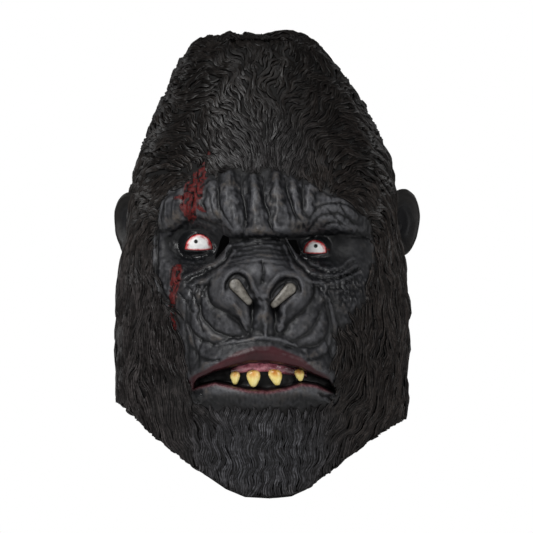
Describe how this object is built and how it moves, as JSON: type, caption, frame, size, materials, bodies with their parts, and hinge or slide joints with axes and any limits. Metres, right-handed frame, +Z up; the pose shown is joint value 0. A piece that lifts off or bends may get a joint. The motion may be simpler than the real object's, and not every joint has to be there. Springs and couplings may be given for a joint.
{
  "type": "gorilla mask",
  "caption": "Over-the-head gorilla mask of hollow moulded latex with painted eyes, bared teeth, sight slots and a ragged neck edge.",
  "frame": {"origin": "inside of the crown, where the top of the wearer's head or a stand carries the mask", "axes": "+Z up, -Y the way the face looks, +X to the right of someone who faces the mask"},
  "size_m": [0.265, 0.2705, 0.4044],
  "materials": {
    "latex_skin": "satin painted latex, charcoal with grey dry-brushed ridges and brown-black moulded hair",
    "eye_paint": "glossy white paint with a red rim and a black dot",
    "gum_paint": "wet-look pink-red paint",
    "tooth_paint": "glossy yellow, orange at the root",
    "nostril_paint": "glossy silver-grey paint"
  },
  "bodies": {
    "root": {"mask_skin": "latex_skin", "eye_left": "eye_paint", "eye_right": "eye_paint", "gum": "gum_paint", "tooth_1": "tooth_paint", "tooth_2": "tooth_paint", "tooth_3": "tooth_paint", "tooth_4": "tooth_paint", "nostril_pad_left": "nostril_paint", "nostril_pad_right": "nostril_paint"}
  },
  "joints": []
}
